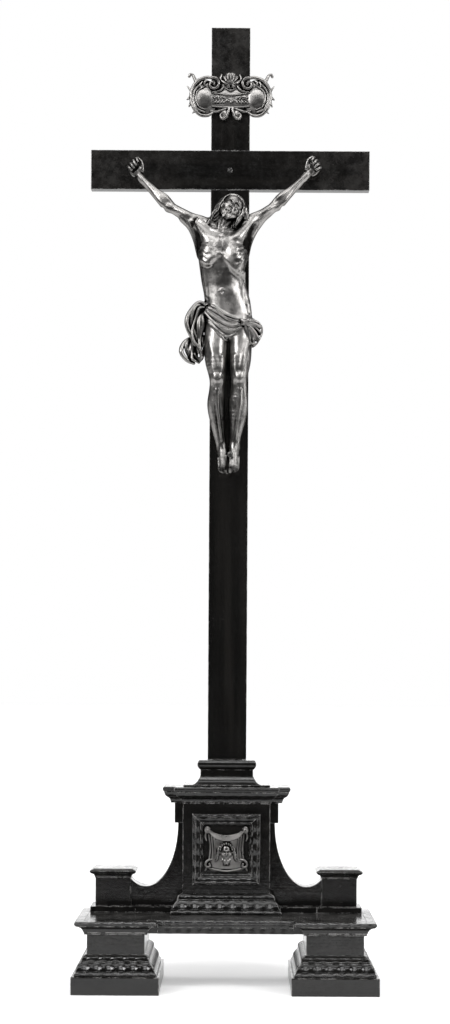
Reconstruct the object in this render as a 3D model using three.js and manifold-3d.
// Altar cross: an ebonised wooden cross with a cast metal corpus and name tablet, which plugs into a
// two-footed pedestal with ripple mouldings. Millimetres, +Z up, front towards -Y. The origin is the
// middle of the footprint, on the surface that the two plinths stand on.
import * as THREE from "three";
import { mergeVertices } from "three/addons/utils/BufferGeometryUtils.js";
import Module from "manifold-3d";

const wasm = await Module();
wasm.setup();

// ---------------------------------------------------------------- driving dimensions

const GAP = 0.3; // clearance where a cut or a cast piece meets its neighbour
const MITRE_GAP = 0.1; // half the open joint at a mitre
const BACK = 45; // the plain rear face of the pedestal

const FOOT = { x: 87.25, plinthHalf: 35, plinthFront: -50, plinthBack: 50, plinthTop: 14.5,
  half: 23, front: -39, rippleTop: 31.25, top: 47 };
const BRIDGE = { bottom: 47, top: 57.75, ledgeHalf: 25, ledgeFront: -41, front: -34 };
const POST = { x: 93.25, baseHalf: 18.5, baseFront: 15, baseTop: 62.5, half: 14.5, front: 18,
  shaftTop: 86, capTop: 93.5 };
const DIE = { half: 35.75, front: 10, bottom: 57.75, top: 148, rippleTop: 74 };
const PANEL = { half: 28, bottom: 81.25, top: 139.75, bar: 9.5 };
const PLAQUE = { half: 18, bottom: 91.25, top: 129.75, thickness: 2 };
const EAR = { half: 42.75, front: 17, bottom: 131.5 };
const WING = { front: 22, back: 41, neckHalf: 40, arcCentre: 66.5, arcLow: 78.5 };
const CORNICE = { top: 161.5, outerHalf: 45.25, outerFront: 18.25 };
const SOCKET = { top: 183, neckHalf: 21.75, neckFront: 19.75 };
const CROSS = { half: 16, front: 26.5, back: 35.5, shoulder: 183.25, top: 790,
  barHalf: 115.5, barBottom: 655.75, barTop: 688.25 };
const TENON = { half: 12, front: 27, back: 35, bottom: 138.5 };
const TABLET = { z: 731.5, thickness: 3, pinX: 11 };
const NAIL = { shank: 1, hole: 1.3, head: 2.6, depth: 6 };

const LEFT = -1; // the -X side, on the left when seen from the front
const RIGHT = 1;

// Mouldings are [projection, height] pairs, going up. Projection is measured out from the face that
// the moulding is glued to.
const FOOT_RIPPLE = [[9.75, 14.5], [9.75, 17], [8.75, 17.75], [8.75, 18.75], [8.25, 20.75], [6.75, 23],
  [5.25, 24.5], [4.5, 25.25], [4.5, 26.25], [4, 28.25], [2.75, 30], [1, 31.25]];
const DIE_RIPPLE = [[9, 57.75], [9, 60], [8, 60.75], [8, 61.75], [7.5, 64], [5.75, 66.5],
  [4.25, 68], [3.5, 68.75], [3.5, 69.75], [3, 71.5], [1.75, 73.25], [0.75, 74]];
const LEDGE_EDGE = [[0, 47], [0, 48.5], [0.5, 50], [2, 52], [4.5, 53.5], [6.5, 54.25], [6.5, 54.75],
  [7.25, 55.25], [7.5, 56.25], [7.25, 57.25], [6.5, 57.75]];
const BRIDGE_EDGE = [[0.5, 47], [0.5, 52], [1.5, 52.75], [2.75, 53.75], [3.25, 54.75], [4, 55.25],
  [4, 57], [3.25, 57.75]];
const CORNICE_EDGE = [[0.75, 148], [0.75, 149.25], [1.25, 150.25], [2.5, 152], [4.25, 154],
  [5.75, 156], [6.25, 157.25], [7, 157.75], [7.25, 159.25], [7, 160.75], [6.25, 161.5]];
const SOCKET_EDGE = [[13.75, 161.5], [13.75, 163.25], [12.75, 163.5], [9.5, 164.25], [6, 165.5],
  [3.25, 167], [1.25, 168.5], [0, 170], [0, 175.5], [1.5, 176], [2.5, 177.5], [2.5, 181], [1.5, 183]];
const POST_CAP_EDGE = [[0.75, 86], [0.75, 87], [1.5, 88.25], [3.25, 89.25], [3.25, 89.75], [4.5, 90.5],
  [4.75, 91.5], [4.25, 92.75], [1.5, 93.5]];
// The frame bars stand out from the front of the die; here the first number goes in from the outer
// edge and the second is the height above the die's face.
const FRAME_BAR = [[0, 0], [0, 4], [0.75, 5.25], [2, 5.5], [3, 4.75], [4.75, 3.25], [6.75, 2.5],
  [7.5, 2.75], [8.5, 2.25], [9.5, 1], [9.5, 0]];

// ---------------------------------------------------------------- materials

const ebonised = () => new THREE.MeshStandardMaterial({ color: 0x15110f, roughness: 0.25, metalness: 0 });
const silvered = () => new THREE.MeshStandardMaterial({ color: 0x9a9892, roughness: 0.3, metalness: 1 });
const bronze = () => new THREE.MeshStandardMaterial({ color: 0x4a4238, roughness: 0.4, metalness: 1 });
const iron = () => new THREE.MeshStandardMaterial({ color: 0x6a6864, roughness: 0.4, metalness: 1 });

// ---------------------------------------------------------------- shapes

const v = (x, y, z) => new THREE.Vector3(x, y, z);

/** Closed surface from rings of corners, with the first and last ring filled by the same triangles. */
function skin(rings, capTriangles) {
  const count = rings[0].length;
  const last = (rings.length - 1) * count;
  const index = [];
  for (let ring = 0; ring < rings.length - 1; ring++) {
    for (let corner = 0; corner < count; corner++) {
      const a = ring * count + corner;
      const b = ring * count + ((corner + 1) % count);
      index.push(a, b, b + count, a, b + count, a + count);
    }
  }
  for (const [a, b, c] of capTriangles) {
    index.push(a, c, b);
    index.push(last + a, last + b, last + c);
  }
  const geometry = new THREE.BufferGeometry();
  geometry.setAttribute("position", new THREE.Float32BufferAttribute(rings.flat(2), 3));
  geometry.setIndex(facingOut(rings.flat(1), index));
  return geometry;
}

/** The triangles turned round where their signed volume is negative. */
function facingOut(points, index) {
  let volume = 0;
  for (let i = 0; i < index.length; i += 3) {
    const [a, b, c] = [0, 1, 2].map((k) => v(...points[index[i + k]]));
    volume += a.dot(b.cross(c));
  }
  return volume > 0 ? index : index.reverse();
}

/** Triangles that fill a flat contour, each going round the same way as the contour does. */
function filled(contour) {
  const clockwise = THREE.ShapeUtils.isClockWise(contour);
  return THREE.ShapeUtils.triangulateShape(contour, []).map((triangle) => {
    const turned = THREE.ShapeUtils.isClockWise(triangle.map((k) => contour[k]));
    return turned === clockwise ? triangle : [...triangle].reverse();
  });
}

/** A plain board between two opposite corners. */
function board(x0, x1, y0, y1, z0, z1) {
  const geometry = new THREE.BoxGeometry(x1 - x0, y1 - y0, z1 - z0);
  return geometry.translate((x0 + x1) / 2, (y0 + y1) / 2, (z0 + z1) / 2);
}

/** A block whose front and two sides follow a moulding, round a core; its back is plain. */
function mouldedBlock(edge, x, half, front, back) {
  const rings = edge.map(([out, z]) => [
    [x - half - out, front - out, z],
    [x + half + out, front - out, z],
    [x + half + out, back, z],
    [x - half - out, back, z],
  ]);
  return skin(rings, [[0, 1, 2], [0, 2, 3]]);
}

/** A strip of moulding from start to end along X; each end moves by its slope times the projection. */
function strip(section, start, startSlope, end, endSlope) {
  const contour = section.map(([out, height]) => new THREE.Vector2(out, height));
  const ends = [[start, startSlope], [end, endSlope]];
  const rings = ends.map(([x, slope]) => section.map(([out, z]) => [x + slope * out, -out, z]));
  return skin(rings, filled(contour));
}

/** The three mitred strips of a moulding round the front and sides of a core. */
function stripsRound(edge, half, front, back) {
  const section = [[0, edge[0][1]], ...edge, [0, edge.at(-1)[1]]];
  return {
    front: strip(section, MITRE_GAP - half, -1, half - MITRE_GAP, 1),
    left: strip(section, -back, 0, -front - MITRE_GAP, 1).rotateZ(-Math.PI / 2),
    right: strip(section, front + MITRE_GAP, -1, back, 0).rotateZ(Math.PI / 2),
  };
}

/** A flat outline of [x, z] points, or a Shape drawn in x and z, given thickness from y0 to y1. */
function plate(outline, y0, y1) {
  const isList = Array.isArray(outline);
  const shape = isList ? new THREE.Shape(outline.map(([x, z]) => new THREE.Vector2(x, z))) : outline;
  const geometry = new THREE.ExtrudeGeometry(shape, { depth: y1 - y0, bevelEnabled: false, curveSegments: 10 });
  return geometry.rotateX(Math.PI / 2).translate(0, y1, 0);
}

/** A lathe turned round the Y axis, moved so that its axis runs from a towards b. */
function along(geometry, a, b) {
  const direction = b.clone().sub(a).normalize();
  geometry.applyQuaternion(new THREE.Quaternion().setFromUnitVectors(v(0, 1, 0), direction));
  return geometry.translate(a.x, a.y, a.z);
}

/** A tapered limb with round ends. */
function limb(a, b, radiusA, radiusB, sides = 10) {
  const length = a.distanceTo(b);
  const profile = [];
  for (let step = 0; step <= 3; step++) {
    const angle = (step / 3) * (Math.PI / 2);
    profile.push(new THREE.Vector2(radiusA * Math.sin(angle), -radiusA * Math.cos(angle)));
  }
  for (let step = 0; step <= 3; step++) {
    const angle = (step / 3) * (Math.PI / 2);
    profile.push(new THREE.Vector2(radiusB * Math.cos(angle), length + radiusB * Math.sin(angle)));
  }
  profile[0].x = 0;
  profile.at(-1).x = 0;
  return along(new THREE.LatheGeometry(profile, sides), a, b);
}

/** A rounded mass with its own three radii. */
function mass(centre, rx, ry, rz, roll = 0) {
  const geometry = new THREE.SphereGeometry(1, 14, 9).scale(rx, ry, rz).rotateY(roll);
  return geometry.translate(centre.x, centre.y, centre.z);
}

/** A straight pin along +Y from y0 to y1. */
function pin(x, z, y0, y1, radius) {
  return new THREE.CylinderGeometry(radius, radius, y1 - y0, 12).translate(x, (y0 + y1) / 2, z);
}

/** A pin with a domed head in front of y; the head stands out towards -Y. */
function domedPin(x, z, headBack, tip, shankRadius, headRadius) {
  const profile = [[0, 0], [headRadius * 0.6, 0.35], [headRadius, 1.5], [headRadius, 1.8], [shankRadius, 1.8],
    [shankRadius, 1.8 + tip - headBack], [0, 2.4 + tip - headBack]];
  const turned = new THREE.LatheGeometry(profile.map(([r, y]) => new THREE.Vector2(r, y)), 12);
  return turned.translate(x, headBack - 1.8, z);
}

// ---------------------------------------------------------------- joins and cuts

/** A closed three.js geometry as a manifold-3d solid. */
function toSolid(geometry) {
  const bare = new THREE.BufferGeometry();
  bare.setAttribute("position", geometry.getAttribute("position"));
  bare.setIndex(geometry.index);
  const merged = mergeVertices(bare, 1e-4);
  return new wasm.Manifold(new wasm.Mesh({
    numProp: 3,
    vertProperties: merged.attributes.position.array,
    triVerts: new Uint32Array(merged.index.array),
  }));
}

function toGeometry(solid) {
  const made = solid.getMesh();
  const geometry = new THREE.BufferGeometry();
  geometry.setAttribute("position", new THREE.Float32BufferAttribute(made.vertProperties, 3));
  geometry.setIndex(new THREE.Uint32BufferAttribute(made.triVerts, 1));
  return geometry;
}

function joined(parts) {
  return toGeometry(parts.map(toSolid).reduce((whole, next) => whole.add(next)));
}

function cut(geometry, tools) {
  return toGeometry(tools.map(toSolid).reduce((rest, tool) => rest.subtract(tool), toSolid(geometry)));
}

// ---------------------------------------------------------------- scene graph

const altarCross = new THREE.Group();
const pedestal = new THREE.Group();
const cross = new THREE.Group();
altarCross.add(pedestal, cross);

function piece(group, name, geometry, material, x = 0, y = 0) {
  const mesh = new THREE.Mesh(geometry, material);
  mesh.name = name;
  mesh.position.set(x, y, 0);
  group.add(mesh);
}

const sides = [["left", LEFT], ["right", RIGHT]];

// ---------------------------------------------------------------- feet

for (const [name, side] of sides) {
  const x = side * FOOT.x;
  const plinth = board(-FOOT.plinthHalf, FOOT.plinthHalf, FOOT.plinthFront, FOOT.plinthBack, 0, FOOT.plinthTop);
  piece(pedestal, `${name}_plinth`, plinth, ebonised(), x);
  const core = board(-FOOT.half, FOOT.half, FOOT.front, BACK, FOOT.plinthTop, FOOT.top);
  piece(pedestal, `${name}_foot_core`, core, ebonised(), x);
  const ripple = stripsRound(FOOT_RIPPLE, FOOT.half, FOOT.front, BACK);
  piece(pedestal, `${name}_foot_ripple_front`, ripple.front, ebonised(), x, FOOT.front);
  const [outer, inner] = side === LEFT ? ["outer", "inner"] : ["inner", "outer"];
  piece(pedestal, `${name}_foot_ripple_${outer}`, ripple.left, ebonised(), x - FOOT.half);
  piece(pedestal, `${name}_foot_ripple_${inner}`, ripple.right, ebonised(), x + FOOT.half);
}

// ---------------------------------------------------------------- bridge

const ledgeOuter = FOOT.x + BRIDGE.ledgeHalf;
const ledgeInner = FOOT.x - BRIDGE.ledgeHalf;

function bridgeBoard() {
  const outline = new THREE.Shape([
    [-ledgeOuter, BRIDGE.ledgeFront], [-ledgeInner, BRIDGE.ledgeFront], [-ledgeInner, BRIDGE.front],
    [ledgeInner, BRIDGE.front], [ledgeInner, BRIDGE.ledgeFront], [ledgeOuter, BRIDGE.ledgeFront],
    [ledgeOuter, BACK], [-ledgeOuter, BACK],
  ].map(([x, y]) => new THREE.Vector2(x, y)));
  const depth = BRIDGE.top - BRIDGE.bottom;
  return new THREE.ExtrudeGeometry(outline, { depth, bevelEnabled: false }).translate(0, 0, BRIDGE.bottom);
}

piece(pedestal, "bridge_board", bridgeBoard(), ebonised());

for (const [name, side] of sides) {
  const block = mouldedBlock(LEDGE_EDGE, side * FOOT.x, BRIDGE.ledgeHalf, BRIDGE.ledgeFront, BACK);
  const clearOfStrip = board(-ledgeInner, ledgeInner, BRIDGE.front, BACK + 1, BRIDGE.bottom - 1, BRIDGE.top + 1);
  piece(pedestal, `${name}_foot_cornice`, cut(block, [bridgeBoard(), clearOfStrip]), ebonised());
}

const bridgeStripHalf = ledgeInner - Math.max(...LEDGE_EDGE.map(([out]) => out)) - GAP;
const bridgeSection = [[0, BRIDGE.bottom], ...BRIDGE_EDGE, [0, BRIDGE.top]];
piece(pedestal, "bridge_front_moulding", strip(bridgeSection, -bridgeStripHalf, 0, bridgeStripHalf, 0),
  ebonised(), 0, BRIDGE.front);

// ---------------------------------------------------------------- corner posts

for (const [name, side] of sides) {
  const x = side * POST.x;
  const base = board(-POST.baseHalf, POST.baseHalf, POST.baseFront, BACK, BRIDGE.top, POST.baseTop);
  piece(pedestal, `${name}_post_base`, base, ebonised(), x);
  const shaft = board(-POST.half, POST.half, POST.front, BACK, POST.baseTop, POST.shaftTop);
  piece(pedestal, `${name}_post_shaft`, shaft, ebonised(), x);
  piece(pedestal, `${name}_post_cap`, mouldedBlock(POST_CAP_EDGE, 0, POST.half, POST.front, BACK), ebonised(), x);
}

// ---------------------------------------------------------------- die, panel and side pieces

const mortise = board(-TENON.half - GAP, TENON.half + GAP, TENON.front - GAP, TENON.back + GAP,
  TENON.bottom - 2, SOCKET.top + 1);

piece(pedestal, "die_block", cut(board(-DIE.half, DIE.half, DIE.front, BACK, DIE.bottom, DIE.top), [mortise]),
  ebonised());

const dieRipple = stripsRound(DIE_RIPPLE, DIE.half, DIE.front, WING.front);
piece(pedestal, "base_ripple_front", dieRipple.front, ebonised(), 0, DIE.front);
piece(pedestal, "base_ripple_left", dieRipple.left, ebonised(), -DIE.half);
piece(pedestal, "base_ripple_right", dieRipple.right, ebonised(), DIE.half);

/** One bar of the panel frame, built along X with its outer edge down, then turned about the Y axis. */
function frameBar(halfLength, turn, toEdge) {
  const contour = FRAME_BAR.map(([inward, height]) => new THREE.Vector2(inward, height));
  const half = halfLength - MITRE_GAP;
  const rings = [-1, 1].map((end) =>
    FRAME_BAR.map(([inward, height]) => [end * (half - inward), -height, inward - toEdge]));
  const bar = skin(rings, filled(contour));
  return bar.rotateY(turn).translate(0, DIE.front, (PANEL.bottom + PANEL.top) / 2);
}

const panelHalfHeight = (PANEL.top - PANEL.bottom) / 2;
piece(pedestal, "panel_frame_bottom", frameBar(PANEL.half, 0, panelHalfHeight), ebonised());
piece(pedestal, "panel_frame_top", frameBar(PANEL.half, Math.PI, panelHalfHeight), ebonised());
piece(pedestal, "panel_frame_left", frameBar(panelHalfHeight, Math.PI / 2, PANEL.half), ebonised());
piece(pedestal, "panel_frame_right", frameBar(panelHalfHeight, -Math.PI / 2, PANEL.half), ebonised());

/** The relief of a knotted cloth with a head on it, on a thin square back. */
function veilPlaque() {
  const back = DIE.front - GAP;
  const face = back - PLAQUE.thickness;
  const middle = (PLAQUE.bottom + PLAQUE.top) / 2;
  const sheet = board(-PLAQUE.half, PLAQUE.half, face, back, PLAQUE.bottom, PLAQUE.top);
  const head = mass(v(0, face, middle - 2), 6.5, 3.5, 9);
  const swag = limb(v(-15, face, PLAQUE.top - 3.5), v(15, face, PLAQUE.top - 3.5), 2, 2);
  const falls = [-14.5, 14.5].map((x) => limb(v(x, face, PLAQUE.top - 5), v(x, face, PLAQUE.bottom + 5), 2, 2.5));
  const behind = board(-DIE.half, DIE.half, back, BACK, DIE.bottom, DIE.top);
  return cut(joined([sheet, head, swag, ...falls]), [behind]);
}

piece(pedestal, "veil_plaque", veilPlaque(), bronze());

/** The concave side board between the die and a corner post; its top edge is an arc of an ellipse. */
function wingOutline(side) {
  const postInner = POST.x - POST.half;
  const across = WING.arcCentre - WING.neckHalf;
  const down = EAR.bottom - WING.arcLow;
  const steps = 14;
  const lastAngle = Math.PI / 2 + Math.asin((postInner - WING.arcCentre) / across);
  const points = [[DIE.half, POST.baseTop], [DIE.half, EAR.bottom]];
  for (let step = 0; step <= steps; step++) {
    const angle = (step / steps) * lastAngle;
    points.push([WING.arcCentre - across * Math.cos(angle), EAR.bottom - down * Math.sin(angle)]);
  }
  points.push([postInner, POST.baseTop]);
  return points.map(([x, z]) => [side * x, z]);
}

for (const [name, side] of sides) {
  const [near, far] = [side * DIE.half, side * EAR.half].sort((a, b) => a - b);
  piece(pedestal, `${name}_ear_block`, board(near, far, EAR.front, WING.back, EAR.bottom, DIE.top), ebonised());
  piece(pedestal, `${name}_wing`, plate(wingOutline(side), WING.front, WING.back), ebonised());
  const stepOutline = new THREE.Shape([
    [DIE.half, WING.front], [DIE.half + DIE_RIPPLE[0][0], WING.front],
    [DIE.half + DIE_RIPPLE[0][0], POST.baseFront], [POST.x - POST.baseHalf, POST.baseFront],
    [POST.x - POST.baseHalf, BACK], [DIE.half, BACK],
  ].map(([x, y]) => new THREE.Vector2(side * x, y)));
  const depth = POST.baseTop - BRIDGE.top;
  const step = new THREE.ExtrudeGeometry(stepOutline, { depth, bevelEnabled: false });
  piece(pedestal, `${name}_wing_step`, step.translate(0, 0, BRIDGE.top), ebonised());
}

const corniceBlocks = [
  mouldedBlock(CORNICE_EDGE, 0, DIE.half, DIE.front, BACK),
  mouldedBlock(CORNICE_EDGE, 0, CORNICE.outerHalf, CORNICE.outerFront, BACK),
];
piece(pedestal, "pedestal_cornice", cut(joined(corniceBlocks), [mortise]), ebonised());

const socket = mouldedBlock(SOCKET_EDGE, 0, SOCKET.neckHalf, SOCKET.neckFront, BACK);
piece(pedestal, "socket_block", cut(socket, [mortise]), ebonised());

// ---------------------------------------------------------------- wooden cross

const barMiddle = (CROSS.barBottom + CROSS.barTop) / 2;
const lap = (CROSS.front + CROSS.back) / 2;
const HANDS = { left: v(-80, 21.5, 673.5), right: v(70.5, 21.5, 674.5) };
const FEET_NAIL = v(1.25, 8, 433.75);

function upright() {
  const post = board(-CROSS.half, CROSS.half, CROSS.front, CROSS.back, CROSS.shoulder, CROSS.top);
  const tenon = board(-TENON.half, TENON.half, TENON.front, TENON.back, TENON.bottom, CROSS.shoulder + 1);
  const holes = [
    pin(0, barMiddle, CROSS.front - 1, CROSS.back + 1, NAIL.hole + 0.3),
    pin(FEET_NAIL.x, FEET_NAIL.z, CROSS.front - 1, CROSS.front + NAIL.depth + 1, NAIL.hole),
    ...[LEFT, RIGHT].map((side) =>
      pin(side * TABLET.pinX, TABLET.z, CROSS.front - 1, CROSS.front + NAIL.depth + 1, NAIL.hole)),
  ];
  const lapCut = board(-CROSS.half - 1, CROSS.half + 1, CROSS.front - 1, lap, CROSS.barBottom, CROSS.barTop);
  return cut(joined([post, tenon]), [lapCut, ...holes]);
}

function crossbar() {
  const bar = board(-CROSS.barHalf, CROSS.barHalf, CROSS.front, CROSS.back, CROSS.barBottom, CROSS.barTop);
  const lapCut = board(-CROSS.half, CROSS.half, lap, CROSS.back + 1, CROSS.barBottom - 1, CROSS.barTop + 1);
  const holes = Object.values(HANDS).map((hand) =>
    pin(hand.x, hand.z, CROSS.front - 1, CROSS.front + NAIL.depth + 1, NAIL.hole));
  return cut(bar, [lapCut, pin(0, barMiddle, CROSS.front - 1, CROSS.back + 1, NAIL.hole + 0.3), ...holes]);
}

piece(cross, "cross_upright", upright(), ebonised());
piece(cross, "crossbar", crossbar(), ebonised());
piece(cross, "lap_pin", pin(0, barMiddle, CROSS.front - 0.5, CROSS.back, NAIL.hole), ebonised());

// ---------------------------------------------------------------- name tablet

/** The scrolled tablet over the crossbar: an oval field, side lobes, volutes, shell and hanging leaves. */
function tablet() {
  const back = CROSS.front - GAP;
  const front = back - TABLET.thickness;
  const field = new THREE.Shape();
  field.absellipse(0, TABLET.z - 0.5, 25, 11.5, 0, 2 * Math.PI);
  const parts = [plate(field, front, back)];
  for (const side of [LEFT, RIGHT]) {
    const lobe = new THREE.Shape();
    lobe.absellipse(side * 26, TABLET.z - 1, 9.75, 10.5, 0, 2 * Math.PI);
    parts.push(plate(lobe, front, back));
    parts.push(limb(v(side * 14, front + 1, TABLET.z + 10), v(side * 24, front + 1, TABLET.z + 13), 3, 2.5));
    parts.push(limb(v(side * 33, front + 1, TABLET.z + 4), v(side * 34, front + 1, TABLET.z + 15), 2.2, 1.4));
    parts.push(limb(v(side * 3, front + 1, TABLET.z - 11), v(side * 9, front + 1, TABLET.z - 17), 3, 2.2));
  }
  parts.push(mass(v(0, front + 1, TABLET.z + 15), 8, 2.2, 7));
  const holes = [LEFT, RIGHT].map((side) =>
    pin(side * TABLET.pinX, TABLET.z, front - 3, back + 1, NAIL.hole));
  const behind = board(-60, 60, back, CROSS.back, TABLET.z - 40, TABLET.z + 40);
  return cut(joined(parts), [behind, ...holes]);
}

piece(cross, "titulus", tablet(), silvered());
for (const [name, side] of sides) {
  const headBack = CROSS.front - GAP - TABLET.thickness - GAP;
  const shape = domedPin(side * TABLET.pinX, TABLET.z, headBack, CROSS.front + NAIL.depth, NAIL.shank, 1.7);
  piece(cross, `titulus_pin_${name}`, shape, silvered());
}

// ---------------------------------------------------------------- corpus

// Joints of the figure, in millimetres. Its arms are separate castings, let in at the shoulders.
const FIGURE = {
  head: v(0.75, 3, 638), neck: v(-2, 9.5, 624), chest: v(-6, 9.5, 605), waist: v(-5.5, 10, 575),
  pelvis: v(-1.5, 10.5, 546),
  left: { shoulder: v(-20, 12.5, 622), elbow: v(-48.5, 17, 639), wrist: v(-74.5, 21, 664.5),
    hip: v(-10, 10, 540), knee: v(-10.75, 0.5, 494), ankle: v(-5.5, 15, 446), toes: v(-2, 14, 421.5) },
  right: { shoulder: v(15.5, 12.5, 624), elbow: v(37.5, 17, 640.5), wrist: v(63.5, 21, 666.5),
    hip: v(8, 10, 540), knee: v(9.5, 2, 496), ankle: v(5.5, 12, 446), toes: v(2, 8, 422) },
};
const SEAM = 8; // from the shoulder joint to the cut between trunk and arm

/** A block on one side of the shoulder seam: beyond it, or on the trunk's side of it. */
function beyondSeam(joints, sign, gap) {
  const axis = joints.elbow.clone().sub(joints.shoulder).normalize();
  const size = 60;
  const middle = joints.shoulder.clone().addScaledVector(axis, SEAM + sign * (size / 2 - gap));
  const block = new THREE.BoxGeometry(size, size, size);
  block.applyQuaternion(new THREE.Quaternion().setFromUnitVectors(v(0, 1, 0), axis));
  return block.translate(middle.x, middle.y, middle.z);
}

function arm(side) {
  const joints = FIGURE[side];
  const hand = HANDS[side];
  const fingers = hand.clone().add(v(Math.sign(hand.x) * 2, -2, 4.5));
  const parts = [
    limb(joints.shoulder, joints.elbow, 6.8, 4.6),
    limb(joints.elbow, joints.wrist, 5, 3),
    limb(joints.wrist, hand, 3.2, 4.2),
    mass(fingers, 5, 3, 3.4),
  ];
  const trunkSide = beyondSeam(joints, -1, 0);
  return cut(joined(parts), [trunkSide, pin(hand.x, hand.z, -30, CROSS.front, NAIL.hole)]);
}

function leg(side) {
  const { hip, knee, ankle, toes } = FIGURE[side];
  const calf = knee.clone().lerp(ankle, 0.4).add(v(Math.sign(knee.x), 2.5, 0));
  return [
    limb(hip, knee, 10.5, 6.6),
    limb(knee, ankle, 6.2, 3.7),
    mass(calf, 5.6, 5.6, 11),
    limb(ankle, toes, 4.2, 3.6),
  ];
}

function loincloth() {
  return [
    mass(v(-1.5, 9.5, 541), 22, 14.5, 14),
    limb(v(-18, 1, 552), v(14, -2, 538), 5, 5),
    limb(v(-26, 9, 552), v(-32, 9, 528), 6.5, 7),
    limb(v(-32, 9, 528), v(-33, 9, 517), 6, 5),
    limb(v(14, -1, 540), v(22, 6, 530), 5.5, 5.5),
  ];
}

function trunk() {
  const { head, neck, chest, waist, pelvis, left, right } = FIGURE;
  const parts = [
    mass(chest, 19.5, 12.5, 23),
    mass(v(-3.5, 11, 620), 21, 9, 9),
    mass(waist, 16, 10, 24),
    mass(pelvis, 19.5, 12.5, 18),
    limb(left.shoulder, left.elbow, 7.5, 4.8),
    limb(right.shoulder, right.elbow, 7.5, 4.8),
    limb(neck, head, 7, 6.5),
    mass(head, 10.5, 11, 12.5, 0.5),
    limb(v(-9, 5, 641), v(-15.5, 4, 620), 4.5, 3.2),
    limb(v(9.5, 8, 641), v(11.5, 8, 628), 4, 2.6),
    ...leg("left"),
    ...leg("right"),
    ...loincloth(),
  ];
  const behindCross = board(-60, 60, CROSS.front - GAP, CROSS.front + 40, 400, 660);
  const tools = [
    beyondSeam(left, 1, GAP),
    beyondSeam(right, 1, GAP),
    pin(FEET_NAIL.x, FEET_NAIL.z, -30, CROSS.front, NAIL.hole),
    behindCross,
  ];
  return cut(joined(parts), tools);
}

piece(cross, "corpus_body", trunk(), silvered());
for (const [name] of sides) {
  piece(cross, `corpus_arm_${name}`, arm(name), silvered());
}

/** A nail whose head rests just in front of the cast metal and whose point is in the wood. */
function nailThrough(place, metalFront) {
  return domedPin(place.x, place.z, metalFront - GAP, CROSS.front + NAIL.depth, NAIL.shank, NAIL.head);
}

for (const [name] of sides) {
  piece(cross, `hand_nail_${name}`, nailThrough(HANDS[name], HANDS[name].y - 4.5), iron());
}
piece(cross, "feet_nail", nailThrough(FEET_NAIL, 3.5), iron());

export default altarCross;
